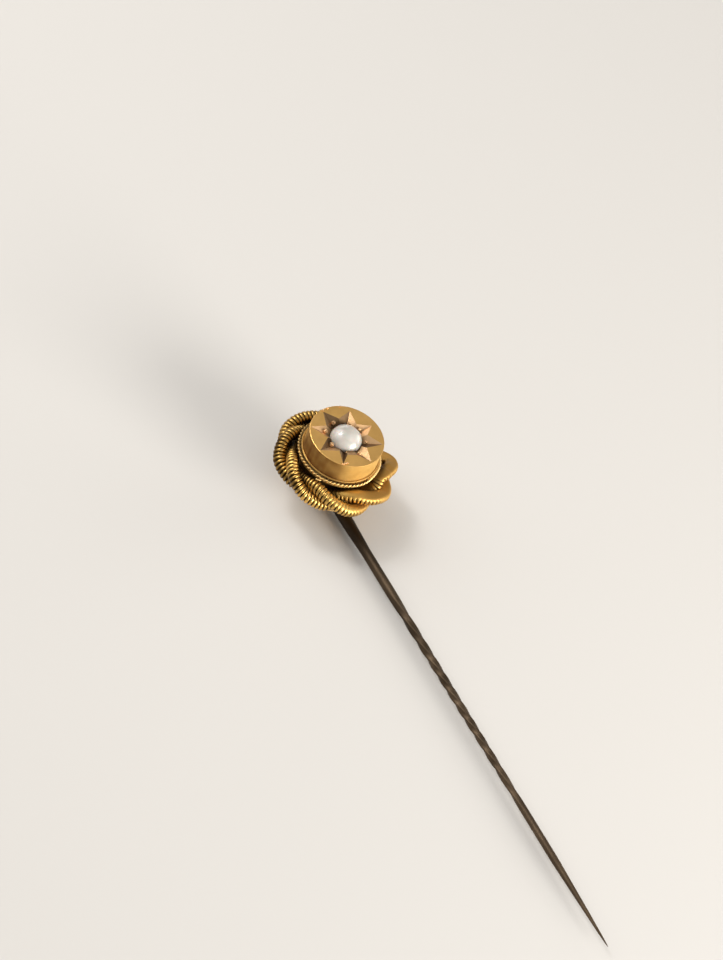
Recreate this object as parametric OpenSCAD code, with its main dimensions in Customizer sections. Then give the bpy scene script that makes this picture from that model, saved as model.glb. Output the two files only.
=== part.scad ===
// Stick pin: a half pearl in a star-cut drum on a wreath of coil-wound wire, with a twisted shank.
// The stem lies along Y with its tip at -Y, and the face looks up along +Z.
// The origin is on the stem's axis, in the middle of the straight shank.

/* [Drum] */
// Radius of the face plate
face_r = 3.55; // [3.4:0.05:3.6]
// Thickness of the face plate
face_t = 0.75; // [0.7:0.05:0.9]
// Height of the drum wall under the face plate
wall_h = 1.9; // [1.2:0.1:2.6]
// Thickness of the drum wall
wall_t = 0.3; // [0.2:0.05:0.5]
// Radius of the flange that carries the drum and the rope border
flange_r = 3.88; // [3.84:0.01:3.9]
// Thickness of the flange
flange_t = 0.33; // [0.25:0.01:0.33]

/* [Star and pearl] */
// Number of rays of the engraved star
star_rays = 8; // [6:1:10]
// Direction of the first ray, in degrees from +X
star_turn = 11.6; // [0:0.1:45]
// Radius of the rays' points
star_tip_r = 3.3; // [3:0.05:3.35]
// Radius of the inner corners between two rays
star_corner_r = 1.99; // [1.8:0.01:2.2]
// Depth that the rays' floors would reach at the centre
star_depth = 1; // [0.8:0.05:1.1]
// Radius of the raised grains of metal
grain_r = 0.19; // [0.15:0.01:0.22]
// Radius of the half pearl
pearl_r = 1.52; // [1.3:0.01:1.55]
// Height of the half pearl above the face
pearl_rise = 0.69; // [0.5:0.01:0.9]

/* [Rope border] */
// Radius of the rope's centre line
rope_r = 3.8; // [3.76:0.01:3.82]
// Radius of each of the two wires in the rope
rope_wire_r = 0.105; // [0.08:0.005:0.11]
// Full turns of the two wires about each other
rope_turns = 32; // [24:1:36]
// Radius of the plain wire between the rope and the drum
foot_wire_r = 0.09; // [0.06:0.01:0.1]

/* [Wreath] */
// Radius of the wreath's centre circle
wreath_r = 4.7; // [4.7:0.01:4.75]
// Height of the wreath's centre circle above the stem's axis
wreath_z = 3.55; // [3.5:0.01:3.56]
// How far a strand swings about the centre circle
swing = 0.745; // [0.74:0.001:0.75]
// Radius of a strand over its wound wire
strand_r = 0.6; // [0.55:0.005:0.6]
// Diameter of the wound wire
winding_d = 0.29; // [0.25:0.01:0.3]
// Direction of one outer bulge, in degrees from +X
bulge_turn = 163; // [0:0.5:180]
// Direction where the ends of the strands meet
seam_turn = 45; // [0:1:360]

/* [Stem] */
// Radius of the stem at the head
stem_head_r = 0.6; // [0.5:0.05:0.65]
// Radius of the straight shank
shank_r = 0.465; // [0.45:0.005:0.48]
// Length of the straight shank
shank_l = 5; // [4.5:0.1:5.5]
// Length of the twisted shank
twist_l = 25; // [15:1:30]
// Degrees that the twisted shank turns
twist_turn = 1010; // [360:10:1100]
// Radius of the round shank below the twist
lower_r = 0.35; // [0.3:0.01:0.36]
// Length of the round shank below the twist
lower_l = 4.5; // [4:0.1:5]
// Radius of the blunt point
point_r = 0.05; // [0.03:0.01:0.1]
// Length of the tapered point
point_l = 9.4; // [6:0.1:12]

/* [Hidden] */

$fn = 48;
gap = 0.02;
gold = "#b98f45";
rose_gold = "#b07f58";
worn_gold = "#8f7a4c";

// Heights of the head's layers above the stem's axis
head_y = 10.5;
socket_r = 0.8;
plate_z = socket_r + gap;
plate_t = 0.3;
flange_z = wreath_z + 0.8;
wall_z = flange_z + flange_t;
face_z = wall_z + wall_h;
top_z = face_z + face_t;
rope_z = wall_z + 2 * rope_wire_r + gap;

// Pearl and its bed
seat_r = pearl_r + 0.03;
seat_depth = 0.85;
seat_wall = 0.3;
bed_t = 0.12;
pearl_z = top_z - seat_depth + bed_t;
girdle_h = 0.18;
grain_ring_r = 1.85;

// Wreath: three strands twisted about one circle, each running into the next after a full turn
strands = 3;
swings = 8 / strands;
core_r = strand_r - winding_d - gap;
coil_sides = 12;
core_sides = 6;
strand_rings = 56;
end_gap = 1;
collar_r = wreath_r - swing - strand_r - 0.1;
collar_t = 0.3;

// Back plate: flat in the middle, and dished up to the wreath
plate_r = 4.5;
plate_flat_r = 2.4;
plate_dish = wreath_z - swing - strand_r - 0.08 - plate_t - plate_z;

// Rope border
rope_sides = 5;
rope_rings = 6 * rope_turns;
foot_ring_r = face_r + foot_wire_r;
foot_wire_z = rope_z + 0.27;

// Stem
socket_front = 2.4;
socket_back = 2.2;
stem_start = 1.6;
shank_top = shank_l / 2;
taper_top = head_y - 4.6;
twist_side = 0.9 * shank_r * sqrt(2);
twist_slices = 64;
lower_top = -shank_top - twist_l;
point_top = lower_top - lower_l;

// One ring of points, square to the path: centre p, axes u and v, half-axis r.
function ring(p, u, v, r, sides) =
    [for (i = [0 : sides - 1]) p + r * cos(360 * i / sides) * u + r * sin(360 * i / sides) * v];

function unit(v) = v / norm(v);

// Side walls between consecutive rings of a swept tube. With flip, they face inwards.
function tube_faces(rings, sides, offset, flip, closed) = [
    for (j = [0 : rings - (closed ? 1 : 2)], i = [0 : sides - 1])
        let (
            j2 = (j + 1) % rings,
            i2 = (i + 1) % sides,
            a = offset + j * sides + i,
            b = offset + j * sides + i2,
            c = offset + j2 * sides + i2,
            d = offset + j2 * sides + i
        )
        each flip ? [[a, b, c], [a, c, d]] : [[a, c, b], [a, d, c]]
];

// A point of strand k at angle a round the wreath
function strand_point(k, a) =
    let (phase = swings * (bulge_turn - a) + 360 * k / strands, r = wreath_r + swing * cos(phase))
    [r * cos(a), head_y + r * sin(a), wreath_z + swing * sin(phase)];
function strand_ring(k, a, r, sides) =
    let (
        p = strand_point(k, a),
        t = unit(strand_point(k, a + 0.5) - strand_point(k, a - 0.5)),
        u = unit(cross(t, [cos(a), sin(a), 0])),
        v = cross(t, u)
    )
    ring(p, u, v, r, sides);
function strand_rings_of(k, r, sides) = [
    for (j = [0 : strand_rings - 1])
        each strand_ring(k, seam_turn + end_gap / 2 + (360 - end_gap) * j / (strand_rings - 1), r, sides)
];

// A point of rope wire k at angle a round the border
function rope_point(k, a) =
    let (s = rope_turns * a + 180 * k, r = rope_r + rope_wire_r * cos(s))
    [r * cos(a), head_y + r * sin(a), rope_z + rope_wire_r * sin(s)];
function rope_ring(k, a) =
    let (
        t = unit(rope_point(k, a + 0.2) - rope_point(k, a - 0.2)),
        u = unit(cross(t, [cos(a), sin(a), 0])),
        v = cross(t, u)
    )
    ring(rope_point(k, a), u, v, rope_wire_r, rope_sides);

// Quarter of an ellipse as profile points, from the edge up to the axis
function dome(r, z, h, steps) =
    [for (i = [0 : steps]) [r * cos(90 * i / steps), z + h * sin(90 * i / steps)]];

module at_head() {
    translate([0, head_y, 0]) children();
}

// The star's rays as one solid that stands on its points, for cutting into the face
module star_cutter() {
    over = 0.2;
    step = 180 / star_rays;
    outline = [
        for (i = [0 : 2 * star_rays - 1])
            let (r = i % 2 == 0 ? star_tip_r : star_corner_r, a = star_turn + i * step)
            [r * cos(a), r * sin(a)]
    ];
    n = len(outline);
    points = concat(
        [for (p = outline) [p.x, p.y, top_z]],
        [for (p = outline) [p.x, p.y, top_z + over]],
        [[0, 0, top_z - star_depth], [0, 0, top_z + over]]
    );
    faces = [
        for (i = [0 : n - 1])
            let (j = (i + 1) % n)
            each [[i, j, 2 * n], [n + i, 2 * n + 1, n + j], [i, n + j, j], [i, n + i, n + j]]
    ];
    polyhedron(points, faces);
}

module face_plate() {
    bevel = 0.05;
    cup_z = top_z - seat_depth - seat_wall;
    color(gold) at_head() {
        difference() {
            rotate_extrude()
                polygon([
                    [0, cup_z], [seat_r + seat_wall, cup_z], [seat_r + seat_wall, face_z],
                    [face_r, face_z], [face_r, top_z - bevel], [face_r - bevel, top_z], [0, top_z]
                ]);
            star_cutter();
            translate([0, 0, top_z - seat_depth]) cylinder(r = seat_r, h = 1);
        }
        for (i = [0 : star_rays - 1])
            rotate([0, 0, star_turn + i * 360 / star_rays])
                translate([grain_ring_r, 0, top_z - grain_r - 0.02]) grain();
    }
}

// A grain of metal raised from the floor of a ray, with a round top
module grain() {
    sphere(r = grain_r, $fn = 24);
    translate([0, 0, -0.4]) cylinder(r = grain_r, h = 0.4, $fn = 24);
}

module drum_wall() {
    color(gold) at_head()
        rotate_extrude()
            translate([face_r - gap - wall_t, wall_z]) square([wall_t, wall_h]);
}

// The flange's underside slopes to clear the wreath
module drum_flange() {
    edge_t = 0.04;
    color(gold) at_head()
        rotate_extrude()
            polygon([
                [0, flange_z], [flange_r - 0.38, flange_z], [flange_r, wall_z - edge_t],
                [flange_r, wall_z], [0, wall_z]
            ]);
}

module pearl_bed() {
    color("ivory") at_head()
        translate([0, 0, top_z - seat_depth]) cylinder(r = seat_r, h = bed_t);
}

module half_pearl() {
    color("whitesmoke") at_head()
        rotate_extrude()
            polygon(concat(
                [[0, pearl_z], [pearl_r - 0.12, pearl_z]],
                dome(pearl_r, pearl_z + girdle_h, top_z + pearl_rise - pearl_z - girdle_h, 10)
            ));
}

module rope_wire(k) {
    rings = [for (j = [0 : rope_rings - 1]) each rope_ring(k, 360 * j / rope_rings)];
    color(gold) polyhedron(rings, tube_faces(rope_rings, rope_sides, 0, false, true));
}

module foot_wire() {
    color(gold) at_head()
        rotate_extrude() translate([foot_ring_r, foot_wire_z]) circle(r = foot_wire_r, $fn = 24);
}

module strand_core(k) {
    last = (strand_rings - 1) * core_sides;
    color(worn_gold) polyhedron(
        strand_rings_of(k, core_r, core_sides),
        concat(
            tube_faces(strand_rings, core_sides, 0, false, false),
            [[for (i = [0 : core_sides - 1]) i]],
            [[for (i = [core_sides - 1 : -1 : 0]) last + i]]
        )
    );
}

// The wound wire's envelope: an open-ended tube round the core
module strand_coil(k) {
    count = strand_rings * coil_sides;
    last = count - coil_sides;
    ends = [
        for (i = [0 : coil_sides - 1])
            let (i2 = (i + 1) % coil_sides)
            each [
                [i, i2, count + i2], [i, count + i2, count + i],
                [last + i, count + last + i2, last + i2], [last + i, count + last + i, count + last + i2]
            ]
    ];
    color(gold) polyhedron(
        concat(strand_rings_of(k, strand_r, coil_sides), strand_rings_of(k, core_r + gap, coil_sides)),
        concat(
            tube_faces(strand_rings, coil_sides, 0, false, false),
            tube_faces(strand_rings, coil_sides, count, true, false),
            ends
        )
    );
}

// Stands on the dish and carries the flange
module centre_collar() {
    rise = (collar_r - plate_flat_r) / (plate_r - plate_flat_r);
    foot_z = plate_z + plate_t + plate_dish * rise * rise + gap;
    color(worn_gold) at_head()
        rotate_extrude()
            translate([collar_r - collar_t, foot_z]) square([collar_t, flange_z - foot_z]);
}

module back_plate() {
    steps = 8;
    dish = [
        for (i = [0 : steps])
            let (t = i / steps)
            [plate_flat_r + (plate_r - plate_flat_r) * t, plate_z + plate_dish * t * t]
    ];
    color(worn_gold) at_head()
        rotate_extrude()
            polygon(concat(
                [[0, plate_z]], dish,
                [for (i = [steps : -1 : 0]) dish[i] + [0, plate_t]], [[0, plate_z + plate_t]]
            ));
}

// A short cup, soldered under the back plate, that holds the end of the stem
module stem_socket() {
    color(worn_gold) at_head()
        rotate([90, 0, 0]) difference() {
            union() {
                translate([0, 0, -socket_back + socket_r])
                    cylinder(r = socket_r, h = socket_front + socket_back - socket_r);
                translate([0, 0, -socket_back + socket_r]) sphere(r = socket_r);
            }
            translate([0, 0, -stem_start]) cylinder(r = stem_head_r, h = stem_start + socket_front + 1);
        }
}

module stem() {
    color(worn_gold) rotate([90, 0, 0]) {
        rotate_extrude()
            polygon([
                [0, -head_y - stem_start], [stem_head_r, -head_y - stem_start],
                [stem_head_r, -taper_top], [shank_r, -shank_top],
                [shank_r, shank_top], [0, shank_top]
            ]);
        translate([0, 0, shank_top])
            linear_extrude(
                height = twist_l, twist = twist_turn, slices = twist_slices,
                scale = lower_r / shank_r, $fn = 8
            )
                square(twist_side, center = true);
        translate([0, 0, -lower_top])
            rotate_extrude()
                polygon([
                    [0, 0], [lower_r, 0], [lower_r, lower_l],
                    [point_r, lower_l + point_l], [0, lower_l + point_l + point_r]
                ]);
    }
}

face_plate();
drum_wall();
drum_flange();
pearl_bed();
half_pearl();
rope_wire(0);  // rope_wire_1
rope_wire(1);  // rope_wire_2
foot_wire();
strand_core(0);  // strand_core_1
strand_core(1);  // strand_core_2
strand_core(2);  // strand_core_3
strand_coil(0);  // strand_coil_1
strand_coil(1);  // strand_coil_2
strand_coil(2);  // strand_coil_3
centre_collar();
back_plate();
stem_socket();
stem();
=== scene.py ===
"""Looks of a gold stick pin: a half pearl in a star-cut drum, a rope border, a wreath of
coil-wound wire and a twisted shank.

Lengths are in metres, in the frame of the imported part: the face looks along +Z, and the stem runs
along -Y with its axis on the Y axis. Angles are in degrees round the head's axis, counted from +X.
"""
import math

import bmesh
import bpy
import numpy as np
from mathutils import Matrix, Vector, noise

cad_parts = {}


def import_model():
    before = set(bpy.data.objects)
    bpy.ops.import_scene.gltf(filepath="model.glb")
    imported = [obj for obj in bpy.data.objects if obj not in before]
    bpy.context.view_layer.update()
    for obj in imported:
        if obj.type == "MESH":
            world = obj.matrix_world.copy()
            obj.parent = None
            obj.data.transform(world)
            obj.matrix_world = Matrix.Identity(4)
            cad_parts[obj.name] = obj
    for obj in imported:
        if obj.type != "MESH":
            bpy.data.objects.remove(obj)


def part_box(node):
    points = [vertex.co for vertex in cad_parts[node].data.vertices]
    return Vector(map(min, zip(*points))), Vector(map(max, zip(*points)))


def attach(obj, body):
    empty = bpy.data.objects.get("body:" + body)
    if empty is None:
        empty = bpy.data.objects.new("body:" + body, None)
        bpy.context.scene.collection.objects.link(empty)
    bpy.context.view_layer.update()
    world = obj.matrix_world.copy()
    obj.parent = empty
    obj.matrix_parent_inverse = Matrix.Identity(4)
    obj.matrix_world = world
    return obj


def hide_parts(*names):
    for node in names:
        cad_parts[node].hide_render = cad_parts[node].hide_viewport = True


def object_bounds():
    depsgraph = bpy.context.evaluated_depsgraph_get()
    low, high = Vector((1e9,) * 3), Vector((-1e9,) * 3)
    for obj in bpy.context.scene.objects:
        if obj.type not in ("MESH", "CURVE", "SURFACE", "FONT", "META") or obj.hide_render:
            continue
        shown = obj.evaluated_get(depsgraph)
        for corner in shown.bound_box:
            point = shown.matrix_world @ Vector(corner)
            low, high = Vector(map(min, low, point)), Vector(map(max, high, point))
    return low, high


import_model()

cad_low, cad_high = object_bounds()
MM = 0.001
# A rounded end closes in a ring of this radius, so that its faces keep an area
LEAST_R = 1e-7
SEED = 7
rng = np.random.default_rng(SEED)

# ---------------------------------------------------------------- places, from the frame

plate_low, plate_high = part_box("face_plate")
wall_low, wall_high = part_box("drum_wall")
flange_low, flange_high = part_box("drum_flange")
pearl_low, pearl_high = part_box("half_pearl")
bed_low, bed_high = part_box("pearl_bed")
rope_low, rope_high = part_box("rope_wire_1")
foot_low, foot_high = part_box("foot_wire")
collar_low, collar_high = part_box("centre_collar")
back_low, back_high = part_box("back_plate")
socket_low, socket_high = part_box("stem_socket")
stem_low, stem_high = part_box("stem")
coil_boxes = [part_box(f"strand_coil_{k}") for k in range(1, 4)]

HEAD = Vector((0, (plate_low.y + plate_high.y) / 2, 0))
FACE_R = (plate_high.x - plate_low.x) / 2
TOP_Z = plate_high.z

# Star and pearl seat
STAR_TURN = 11.6
RAYS = 8
RAY_DEPTH = 1.0 * MM
# Ray by ray: how far the tip and the corner after it reach, as shares of the face's radius, and
# how many degrees each leans
TIP_REACH = (0.83, 0.87, 0.93, 0.97, 0.955, 0.97, 0.955, 0.96)
TIP_LEAN = (-3.5, -0.5, 3.0, -1.0, 1.3, -2.0, 1.0, 1.0)
CORNER_REACH = (0.52, 0.58, 0.60, 0.54, 0.58, 0.63, 0.59, 0.57)
CORNER_LEAN = (-2.0, 4.0, 5.0, 0.0, 6.0, -6.0, 0.0, -1.0)
# How deep the ridges between rays and the floors of the rays lie at the pearl, as shares of RAY_DEPTH
RIDGE_DROP = (0.22, 0.28)
FLOOR_DROP = (0.50, 0.56)
# After ray 5 the plain face ends bluntly at the pearl, this many degrees to each side
BLUNT_RAY = 5
BLUNT_HALF = 12
SEAT_R = (bed_high.x - bed_low.x) / 2
SEAT_Z = bed_low.z
PEARL_R = (pearl_high.x - pearl_low.x) / 2
GRAIN_R = 0.19 * MM
# Ray by ray: the raised grain's size and how far out it sits
GRAIN_SIZES = (0.85, 0.5, 1.0, 1.05, 1.1, 0.5, 0.9, 0.65)
GRAIN_RING_R = tuple(r * MM for r in (1.78, 1.8, 1.93, 2.0, 1.84, 1.8, 2.02, 1.86))
RIM_BEVEL = 0.05 * MM
# Specks of metal thrown up on the face's edge, as (reach, angle)
BURRS = ((0.975, 233.5), (0.955, 236), (0.93, 238.5), (0.905, 241),
         (0.965, 72), (0.965, 94), (0.96, 103))
BURR_R = 0.085 * MM
# Painted shade on each ray's two facets, darker where less light falls on them: the clockwise one, then
# the anticlockwise one
RAY_PAINTED_SHADE = ((0.0, 0.30), (0.40, 0.62), (0.78, 0.60), (0.30, 0.0),
              (0.90, 0.30), (0.70, 0.90), (0.45, 0.46), (0.85, 0.30))
# Painted shade on the face that closes the blunt ray at the pearl
BLUNT_PAINTED_SHADE = 0.35
# The cuts are painted darker towards the pearl, as shade in the hollow round it, from the first radius
# in to the second
SHADE_FROM_R = 2.1 * MM
SHADE_TO_R = 1.5 * MM

# Rope border
ROPE_TURNS = 32
LOOSE_END_TURN = 212
ROPE_WIRE_R = (rope_high.z - rope_low.z) / 4
ROPE_Z = (rope_low.z + rope_high.z) / 2
ROPE_R = (rope_high.x - rope_low.x) / 2 - 2 * ROPE_WIRE_R
FOOT_WIRE_R = (foot_high.z - foot_low.z) / 2
FOOT_RING_R = (foot_high.x - foot_low.x) / 2 - FOOT_WIRE_R

# Wreath: three strands about one circle, each running into the next at the seam
STRANDS = 3
SWINGS = 8 / STRANDS
BULGE_TURN = 163
SEAM_TURN = 45
WREATH_R = 4.7 * MM
SWING = 0.745 * MM
STRAND_R = 0.6 * MM
WINDING_D = 0.29 * MM
WINDINGS = 92
GAP_DEPTH = 0.07 * MM
# On the right-hand side: how much fuller a strand is on its inner side, how high its flat top lies,
# both as shares of its radius, and how sharply side and top meet
FULL_SHARE = 0.42
FLAT_HEIGHT = 0.66
SHOULDER = 6
# How far a strand's skin gives way where it would lie in a neighbour, as a share of the depth
GIVE_WAY = 0.64
WREATH_Z = (min(low.z for low, high in coil_boxes) + max(high.z for low, high in coil_boxes)) / 2

# Sheet and tube behind and under the face
WALL_THICK = 0.3 * MM
FLANGE_SLOPE = 0.38 * MM
FLANGE_EDGE = 0.05 * MM
FLANGE_R = (flange_high.x - flange_low.x) / 2
COLLAR_R = (collar_high.x - collar_low.x) / 2
BACK_R = (back_high.x - back_low.x) / 2
BACK_FLAT_R = 2.4 * MM
BACK_THICK = 0.3 * MM
BACK_DISH = back_high.z - back_low.z - BACK_THICK

# Stem
STEM_HEAD_R = (stem_high.x - stem_low.x) / 2
SHANK_R = 0.465 * MM
LOWER_R = 0.35 * MM
POINT_R = 0.004 * MM
TAPER_TOP = HEAD.y - 4.6 * MM
SHANK_HALF = 2.5 * MM
TWIST_END = -27.5 * MM
LOWER_END = -32.0 * MM
TWIST_TURN = -1010
SQUARE_FLAT = 0.78
SQUARE_CORNER = 0.97


# ---------------------------------------------------------------- mesh helpers

def make_piece(name, verts, faces, materials, stands_for=(), crease=30, fields=None, marks=None):
    """A mesh piece on the part's only body. fields are float attributes, given as one value per
    vertex and kept apart where faces of different patches meet. marks are material numbers, one
    per face."""
    mesh = bpy.data.meshes.new(name)
    mesh.from_pydata([tuple(v) for v in verts], [], [tuple(f) for f in faces])
    corner_verts = np.empty(len(mesh.loops), np.int32)
    mesh.loops.foreach_get("vertex_index", corner_verts)
    for field, values in (fields or {}).items():
        attribute = mesh.attributes.new(field, "FLOAT", "CORNER")
        attribute.data.foreach_set("value", np.asarray(values, np.float32)[corner_verts])
    for material in materials:
        mesh.materials.append(material)
    if marks is not None:
        mesh.polygons.foreach_set("material_index", marks)
    tidy = bmesh.new()
    tidy.from_mesh(mesh)
    bmesh.ops.remove_doubles(tidy, verts=tidy.verts, dist=1e-8)
    bmesh.ops.recalc_face_normals(tidy, faces=tidy.faces)
    tidy.to_mesh(mesh)
    tidy.free()
    mesh.shade_smooth()
    mesh.set_sharp_from_angle(angle=math.radians(crease))
    piece = bpy.data.objects.new(name, mesh)
    bpy.context.scene.collection.objects.link(piece)
    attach(piece, "root")
    if stands_for:
        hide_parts(*stands_for)
    return piece


def grid_faces(rows, columns, wrap_rows=False, wrap_columns=True, offset=0):
    """Quads over a grid of vertices stored row by row."""
    faces = []
    for j in range(rows if wrap_rows else rows - 1):
        for i in range(columns if wrap_columns else columns - 1):
            j2, i2 = (j + 1) % rows, (i + 1) % columns
            faces.append([offset + a for a in (
                j * columns + i, j * columns + i2, j2 * columns + i2, j2 * columns + i)])
    return faces


def rounded(profile, radius, steps=4):
    """A closed outline of (r, z) points with each corner off the axis rounded."""
    out = []
    for i, corner in enumerate(profile):
        p = Vector(corner)
        before, after = Vector(profile[i - 1]), Vector(profile[(i + 1) % len(profile)])
        if p.x < 1e-9:
            out.append(p)
            continue
        reach = min(radius, (before - p).length * 0.45, (after - p).length * 0.45)
        a = p + (before - p).normalized() * reach
        b = p + (after - p).normalized() * reach
        for s in range(steps + 1):
            t = s / steps
            out.append(a * (1 - t) ** 2 + p * 2 * t * (1 - t) + b * t ** 2)
    return out


def lathe(name, profile, materials, stands_for, centre=HEAD, steps=192, wobble=0.0, crease=40,
          shade_and_grime_at=None):
    """Turns a closed outline of (r, z) points round the vertical through centre. The last argument,
    a function of (a, z), gives the painted shade and grime at angle a, in radians, and height z."""
    turns = [2 * math.pi * j / steps for j in range(steps)]
    verts = []
    for a in turns:
        for p in profile:
            r = p[0]
            if wobble and r > 0:
                r += wobble * noise.noise(Vector((math.cos(a), math.sin(a), p[1] / MM)) * 1.3)
            verts.append((centre.x + r * math.cos(a), centre.y + r * math.sin(a), p[1]))
    faces = grid_faces(steps, len(profile), wrap_rows=True)
    fields = {"shade_and_grime": [shade_and_grime_at(a, p[1]) for a in turns for p in profile]} if shade_and_grime_at else None
    return make_piece(name, verts, faces, materials, stands_for, crease, fields)


def smoothstep(low, high, x):
    """0 at low and 1 at high, with a smooth rise between."""
    t = np.clip((x - low) / (high - low), 0, 1)
    return t * t * (3 - 2 * t)


def either_way(angle):
    """An angle in radians as degrees from -180 to 180."""
    return (np.degrees(angle) + 180) % 360 - 180


def bump_window(angle, centre, half, fade):
    """1 where angle, in radians, is within half degrees of centre, falling to 0 over fade degrees
    more."""
    away = np.abs((np.degrees(angle) - centre + 180) % 360 - 180)
    return 1 - smoothstep(half, half + fade, away)


# ---------------------------------------------------------------- materials

# How much rougher gold is where its satin field is full
SATIN_DULLER = 0.24


def new_material(name):
    """A material that uses nodes, with its nodes and links."""
    material = bpy.data.materials.new(name)
    material.use_nodes = True
    return material, material.node_tree.nodes, material.node_tree.links


def noise_texture(nodes, links, scale, detail=2.0, rough=0.5):
    """The value of a noise texture in the piece's own coordinates."""
    place = nodes.new("ShaderNodeTexCoord")
    texture = nodes.new("ShaderNodeTexNoise")
    texture.inputs["Scale"].default_value = scale
    texture.inputs["Detail"].default_value = detail
    texture.inputs["Roughness"].default_value = rough
    links.new(place.outputs["Object"], texture.inputs["Vector"])
    return texture.outputs["Fac"]


def bumped(nodes, links, height, strength, distance, under=None):
    """A normal that follows height, on top of the normal under."""
    bump = nodes.new("ShaderNodeBump")
    bump.inputs["Strength"].default_value = strength
    bump.inputs["Distance"].default_value = distance
    links.new(height, bump.inputs["Height"])
    if under:
        links.new(under, bump.inputs["Normal"])
    return bump.outputs["Normal"]


def ramped(nodes, links, value, low, high, low_at=0.0, high_at=1.0):
    """A colour that runs from low to high as value goes from low_at to high_at."""
    ramp = nodes.new("ShaderNodeValToRGB")
    for element, position, colour in zip(ramp.color_ramp.elements, (low_at, high_at), (low, high)):
        element.position = position
        element.color = (*colour, 1)
    links.new(value, ramp.inputs["Fac"])
    return ramp.outputs["Color"]


def gold_material(name, colour, tarnish, roughness, grain=0.35, blotch=900.0, tarnish_share=0.5,
                  bump_um=3.0, grain_scale=9000.0, satin=None, shade_and_dirt=None):
    """Worn gold: blotches of tarnish, a fine grain in gloss and height, and painted shade with grime
    where the piece has a field for them, in the colour given for them or else a dark tarnish. roughness
    is (polished, dull). satin is the colour where the piece has a satin field, and it is duller there."""
    material, nodes, links = new_material(name)
    shader = nodes["Principled BSDF"]
    shader.inputs["Metallic"].default_value = 1.0

    def field(attribute):
        """The value of one of the piece's own fields."""
        n = nodes.new("ShaderNodeAttribute")
        n.attribute_name = attribute
        return n.outputs["Fac"]

    def ranged(value, low, high, out_low, out_high):
        """value, with low to high stretched to out_low to out_high."""
        n = nodes.new("ShaderNodeMapRange")
        n.inputs["From Min"].default_value = low
        n.inputs["From Max"].default_value = high
        n.inputs["To Min"].default_value = out_low
        n.inputs["To Max"].default_value = out_high
        links.new(value, n.inputs["Value"])
        return n.outputs["Result"]

    def mixed(factor, a, b):
        """A colour between a and b, each a colour or the output of a node."""
        n = nodes.new("ShaderNodeMix")
        n.data_type = "RGBA"
        links.new(factor, n.inputs[0])
        for socket, value in ((n.inputs[6], a), (n.inputs[7], b)):
            if isinstance(value, tuple):
                socket.default_value = (*value, 1)
            else:
                links.new(value, socket)
        return n.outputs[2]

    def added(value, share, offset):
        """value times share, plus offset."""
        n = nodes.new("ShaderNodeMath")
        n.operation = "MULTIPLY_ADD"
        n.inputs[1].default_value = share
        links.new(value, n.inputs[0])
        links.new(offset, n.inputs[2])
        return n.outputs[0]

    blotches = ranged(noise_texture(nodes, links, blotch, 4, 0.55), 0.35, 0.7, 0.0, tarnish_share)
    stained = mixed(blotches, colour, tarnish)
    if satin:
        stained = mixed(field("satin"), stained, satin)
    # Painted shade and grime darken the colour where the piece's field for them is full
    shaded_and_dirty = mixed(field("shade_and_grime"), stained, shade_and_dirt or tuple(0.16 * c for c in tarnish))
    links.new(shaded_and_dirty, shader.inputs["Base Color"])

    fine = noise_texture(nodes, links, grain_scale, 3, 0.6)
    wear = noise_texture(nodes, links, blotch * 0.6, 5, 0.6)
    gloss = added(ranged(fine, 0.3, 0.7, -0.04, 0.05), 1.0, ranged(wear, 0.3, 0.7, *roughness))
    if satin:
        gloss = added(field("satin"), SATIN_DULLER, gloss)
    links.new(gloss, shader.inputs["Roughness"])

    coarse = noise_texture(nodes, links, grain_scale * 0.15, 2, 0.55)
    normal = bumped(nodes, links, fine, grain, bump_um * 1e-6)
    normal = bumped(nodes, links, coarse, grain, bump_um * 4e-6, normal)
    links.new(normal, shader.inputs["Normal"])
    return material


face_gold = gold_material("face_gold", (0.87, 0.52, 0.165), (0.69, 0.39, 0.115), (0.36, 0.46))
cut_gold = gold_material("cut_gold", (0.82, 0.53, 0.28), (0.58, 0.33, 0.15), (0.44, 0.56), blotch=1600)
# The drum's darkest colour is that of its painted shade and grime
drum_gold = gold_material("drum_gold", (0.79, 0.53, 0.175), (0.60, 0.33, 0.08), (0.60, 0.70),
                          shade_and_dirt=(0.20, 0.08, 0.02))
rope_gold = gold_material("rope_gold", (1.0, 0.71, 0.30), (0.92, 0.60, 0.22), (0.48, 0.56))
coil_gold = gold_material("coil_gold", (0.86, 0.535, 0.150), (0.58, 0.32, 0.085), (0.32, 0.44),
                          satin=(0.51, 0.29, 0.075))
back_gold = gold_material("back_gold", (0.66, 0.43, 0.17), (0.38, 0.24, 0.10), (0.34, 0.52), blotch=500)
# The stem's colours are darker than its tarnish alone, as painted shade for the dark surroundings it
# reflected
stem_gold = gold_material("stem_gold", (0.160, 0.112, 0.070), (0.08, 0.057, 0.040), (0.46, 0.60),
                          blotch=700)


def pearl_material():
    """Nacre: a milky body with a soft coat, cloudy in tone."""
    material, nodes, links = new_material("pearl")
    shader = nodes["Principled BSDF"]
    for socket, value in (("Roughness", 0.32), ("Subsurface Weight", 0.2), ("Subsurface Scale", 0.0006),
                          ("Coat Weight", 1.0), ("Coat Roughness", 0.19), ("Specular IOR Level", 0.8)):
        shader.inputs[socket].default_value = value
    cloud = noise_texture(nodes, links, 700, 4)
    tone = ramped(nodes, links, cloud, (0.46, 0.43, 0.385), (0.65, 0.62, 0.575), 0.35, 0.68)
    links.new(tone, shader.inputs["Base Color"])
    links.new(bumped(nodes, links, cloud, 0.2, 4e-6), shader.inputs["Normal"])
    return material


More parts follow.
